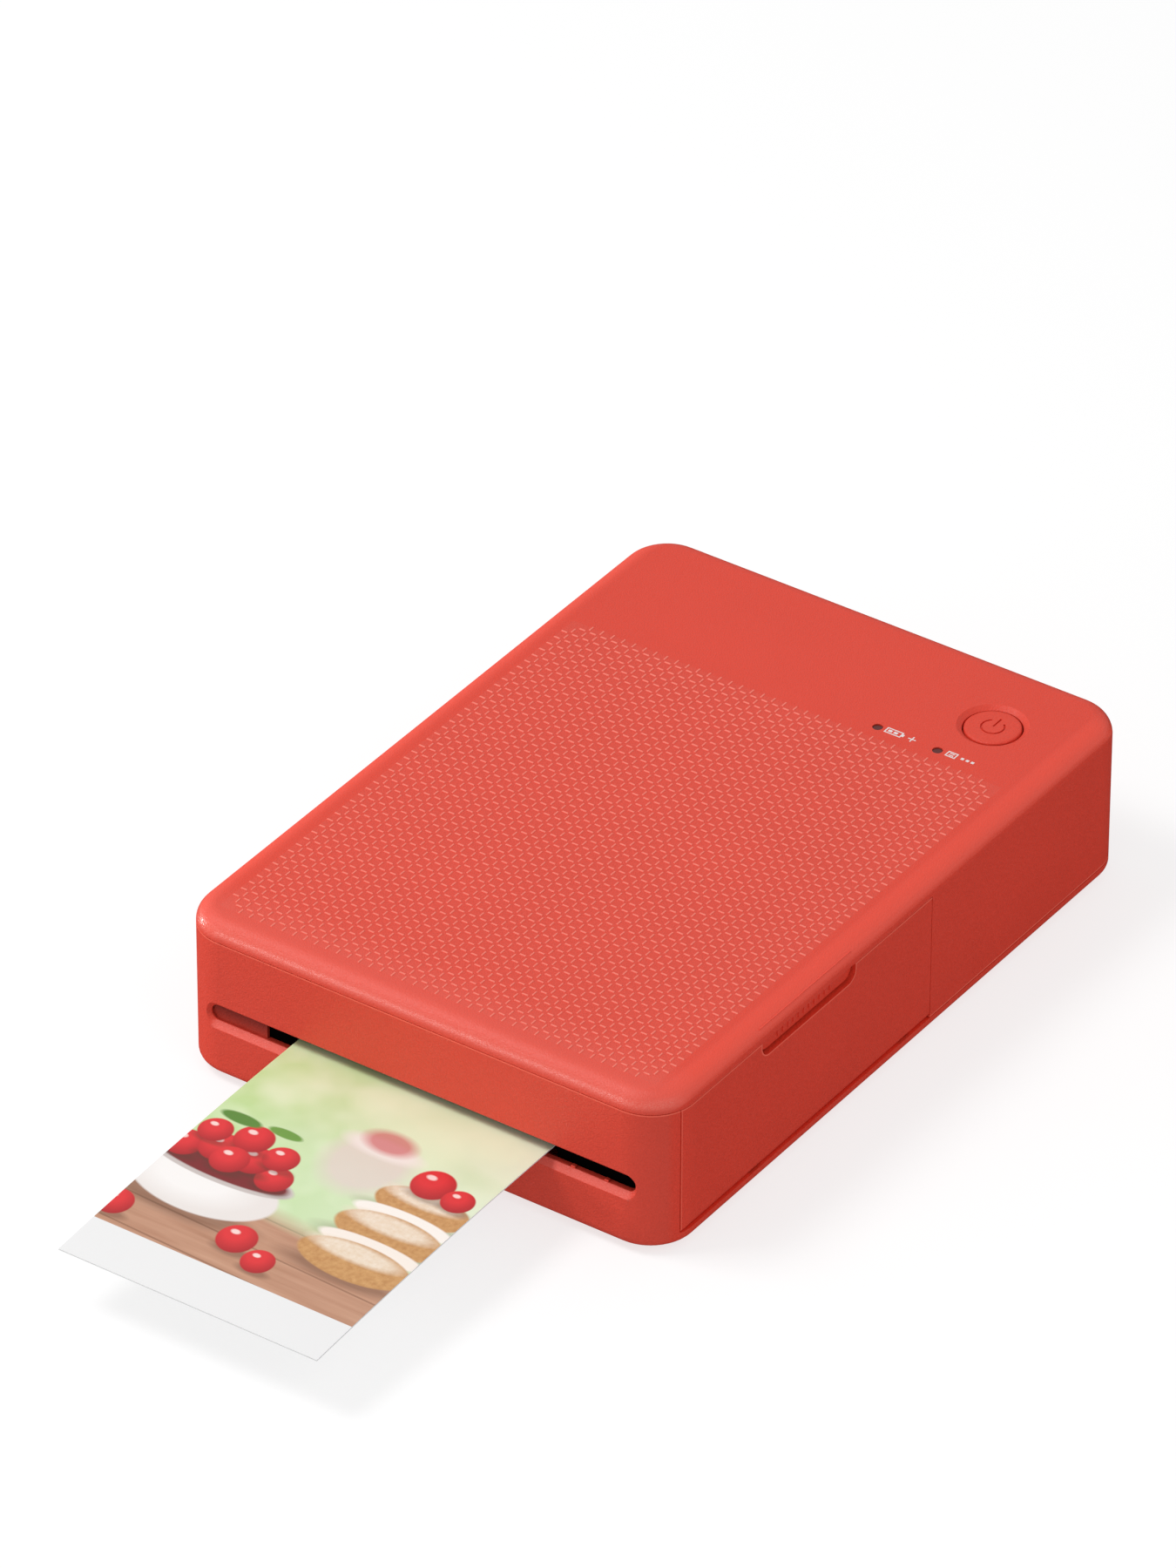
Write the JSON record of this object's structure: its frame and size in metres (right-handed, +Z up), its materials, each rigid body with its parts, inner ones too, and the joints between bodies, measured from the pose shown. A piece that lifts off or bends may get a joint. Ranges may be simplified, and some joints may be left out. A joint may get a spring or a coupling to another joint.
{
  "type": "compact photo printer",
  "caption": "Compact photo printer with a print in its front slot, a hinged side door over the ribbon cassette, a paper cover underneath and geared feed rollers.",
  "frame": {"origin": "on the table, under the middle of the printer and its protruding print together", "axes": "+X to the side door, +Y to the rear, where the power button is, +Z up"},
  "size_m": [0.1022, 0.2124, 0.0329],
  "materials": {
    "case_plastic": "fine matte texture",
    "paper": "smooth photo paper",
    "steel": "bright sheet and shafts",
    "aluminium": "natural",
    "rubber": "matte",
    "gear_plastic": "satin nylon",
    "dark_plastic": "matte",
    "cassette_plastic": "satin",
    "ink_film": "glossy film",
    "board": "lacquered board",
    "battery_wrap": "silver pouch",
    "lamp": "clear"
  },
  "bodies": {
    "printer": {"top_shell": "case_plastic", "bottom_shell": "case_plastic", "door_hinge_pins": "steel", "cover_hinge_pins": "steel", "paper_stack": "paper", "left_side_plate": "steel", "right_side_plate": "steel", "frame_ties": "steel", "shaft_bushes": "dark_plastic", "gear_posts": "steel", "paper_guide": "dark_plastic", "feed_ramp": "dark_plastic", "cassette_shell": "cassette_plastic", "ink_ribbon": "ink_film", "feed_motor": "steel", "head_pivot_shaft": "steel", "head_springs": "steel", "battery_shelf": "dark_plastic", "battery_pack": "battery_wrap", "main_board": "board", "board_chips": "dark_plastic", "usb_charge_socket": "steel", "button_board": "board", "tact_switch": "dark_plastic", "status_leds": "lamp", "light_guides": "lamp", "rubber_feet": "rubber", "case_screws": "steel"},
    "side_door": {"side_door": "case_plastic"},
    "paper_cover": {"paper_cover": "case_plastic"},
    "pressure_plate": {"pressure_plate": "steel"},
    "power_button": {"power_button": "case_plastic"},
    "photo_print": {"photo_print": "paper"},
    "capstan": {"capstan_shaft": "steel", "capstan_gear": "gear_plastic"},
    "pinch": {"pinch_roller": "rubber"},
    "platen": {"platen_shaft": "steel", "platen_sleeve": "rubber"},
    "exit_roller": {"exit_shaft": "steel", "exit_tyres": "rubber", "exit_gear": "gear_plastic"},
    "exit_idlers": {"exit_idlers": "gear_plastic"},
    "pickup": {"pickup_shaft": "steel", "pickup_tyre": "rubber", "pickup_gear": "gear_plastic"},
    "take_up": {"take_up_gear": "gear_plastic", "take_up_spool": "gear_plastic", "take_up_roll": "ink_film"},
    "supply": {"supply_spool": "gear_plastic", "supply_roll": "ink_film"},
    "exit_idler_gear": {"exit_idler_gear": "gear_plastic"},
    "feed_idler_front": {"feed_idler_front": "gear_plastic"},
    "feed_idler_rear": {"feed_idler_rear": "gear_plastic"},
    "reduction_gear": {"reduction_gear": "gear_plastic"},
    "motor_rotor": {"motor_shaft": "steel", "motor_pinion": "gear_plastic"},
    "print_head": {"heat_sink": "aluminium", "thermal_strip": "cassette_plastic", "head_arm": "steel"}
  },
  "joints": [
    {"name": "side_door_hinge", "type": "hinge", "parent": "printer", "child": "side_door", "pos_m": [0.0498, 0.0033, 0.00495], "axis": [0, 1, 0], "range_deg": [0, 90]},
    {"name": "paper_cover_hinge", "type": "hinge", "parent": "printer", "child": "paper_cover", "pos_m": [0, 0.07915, 0.0021], "axis": [1, 0, 0], "range_deg": [0, 90]},
    {"name": "pressure_plate_slide", "type": "slide", "parent": "paper_cover", "child": "pressure_plate", "axis": [0, 0, 1], "range_m": [-0.0005, 0], "stiffness_N_per_m": 300, "springref_m": 0.002},
    {"name": "power_button_press", "type": "slide", "parent": "printer", "child": "power_button", "axis": [0, 0, -1], "range_m": [0, 0.0005], "stiffness_N_per_m": 400, "springref_m": -0.002},
    {"name": "photo_print_feed", "type": "slide", "parent": "printer", "child": "photo_print", "axis": [0, -1, 0], "range_m": [-0.015, 0.01]},
    {"name": "capstan_spin", "type": "hinge", "parent": "printer", "child": "capstan", "pos_m": [0, -0.0067, 0.01132], "axis": [1, 0, 0], "continuous": true},
    {"name": "pinch_spin", "type": "hinge", "parent": "printer", "child": "pinch", "pos_m": [0, -0.0067, 0.01597], "axis": [1, 0, 0], "continuous": true},
    {"name": "platen_spin", "type": "hinge", "parent": "printer", "child": "platen", "pos_m": [0, 0.0053, 0.01052], "axis": [1, 0, 0], "continuous": true},
    {"name": "exit_roller_spin", "type": "hinge", "parent": "printer", "child": "exit_roller", "pos_m": [0, -0.0312, 0.01132], "axis": [1, 0, 0], "continuous": true},
    {"name": "exit_idlers_spin", "type": "hinge", "parent": "printer", "child": "exit_idlers", "pos_m": [0, -0.0312, 0.01568], "axis": [1, 0, 0], "continuous": true},
    {"name": "pickup_spin", "type": "hinge", "parent": "printer", "child": "pickup", "pos_m": [0, 0.0233, 0.0101], "axis": [1, 0, 0], "continuous": true},
    {"name": "take_up_spin", "type": "hinge", "parent": "printer", "child": "take_up", "pos_m": [0, -0.0147, 0.02157], "axis": [1, 0, 0], "continuous": true},
    {"name": "supply_spin", "type": "hinge", "parent": "printer", "child": "supply", "pos_m": [0, 0.0253, 0.02157], "axis": [1, 0, 0], "continuous": true},
    {"name": "exit_idler_gear_spin", "type": "hinge", "parent": "printer", "child": "exit_idler_gear", "pos_m": [0, -0.01895, 0.01132], "axis": [1, 0, 0], "continuous": true},
    {"name": "feed_idler_front_spin", "type": "hinge", "parent": "printer", "child": "feed_idler_front", "pos_m": [0, 0.00318, 0.01405], "axis": [1, 0, 0], "continuous": true},
    {"name": "feed_idler_rear_spin", "type": "hinge", "parent": "printer", "child": "feed_idler_rear", "pos_m": [0, 0.01367, 0.01362], "axis": [1, 0, 0], "continuous": true},
    {"name": "reduction_gear_spin", "type": "hinge", "parent": "printer", "child": "reduction_gear", "pos_m": [0, 0.02962, 0.01579], "axis": [1, 0, 0], "continuous": true},
    {"name": "motor_spin", "type": "hinge", "parent": "printer", "child": "motor_rotor", "pos_m": [0, 0.0428, 0.0205], "axis": [1, 0, 0], "continuous": true},
    {"name": "print_head_hinge", "type": "hinge", "parent": "printer", "child": "print_head", "pos_m": [0, 0.0359, 0.0273], "axis": [-1, 0, 0], "range_deg": [0, 2], "stiffness_Nm_per_rad": 0.5, "springref_deg": -11.46}
  ],
  "couplings": [
    {"joint": "take_up_spin", "follows": "capstan_spin", "ratio": -0.625},
    {"joint": "exit_idler_gear_spin", "follows": "capstan_spin", "ratio": -0.68966},
    {"joint": "exit_roller_spin", "follows": "capstan_spin", "ratio": 1},
    {"joint": "feed_idler_front_spin", "follows": "capstan_spin", "ratio": -0.95238},
    {"joint": "feed_idler_rear_spin", "follows": "capstan_spin", "ratio": 0.95238},
    {"joint": "pickup_spin", "follows": "capstan_spin", "ratio": -1},
    {"joint": "reduction_gear_spin", "follows": "capstan_spin", "ratio": 1.4286},
    {"joint": "motor_spin", "follows": "capstan_spin", "ratio": -5.2381}
  ]
}
